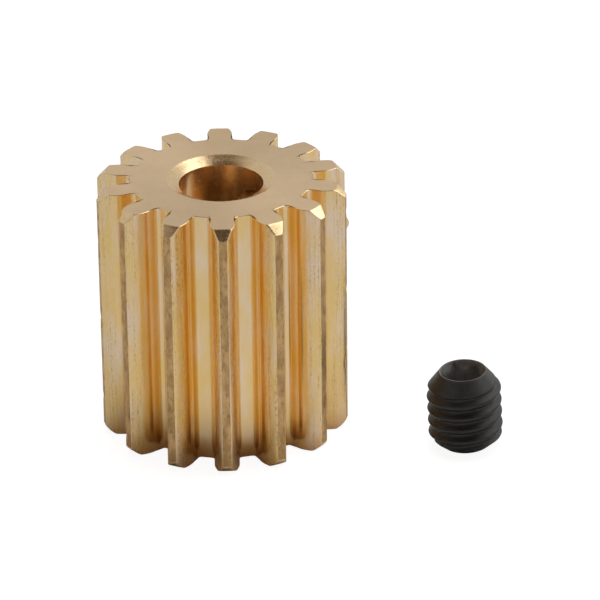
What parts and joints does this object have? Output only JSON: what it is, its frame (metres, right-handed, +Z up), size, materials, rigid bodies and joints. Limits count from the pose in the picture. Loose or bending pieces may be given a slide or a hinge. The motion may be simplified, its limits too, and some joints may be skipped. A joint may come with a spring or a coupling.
{
  "type": "spur pinion with set screw",
  "caption": "Small brass spur pinion with a plain bore and a tapped cross hole, and the loose black socket set screw that clamps it to a motor shaft.",
  "frame": {"origin": "on the surface that both pieces stand on, below the middle of the box around the set", "axes": "+Z up along the pinion's axis, +X from the pinion's axis towards the set screw's axis"},
  "size_m": [0.0158, 0.0096, 0.0102],
  "materials": {
    "brass": "machined, satin end faces, drawn and scratched tooth flanks",
    "black_steel": "black oxide, satin"
  },
  "bodies": {
    "pinion": {"pinion_gear": "brass"},
    "set_screw": {"set_screw": "black_steel"}
  },
  "joints": [
    {"name": "set_screw_lift", "type": "slide", "parent": "pinion", "child": "set_screw", "axis": [0, 0, 1], "range_m": [0, 0.012]}
  ]
}
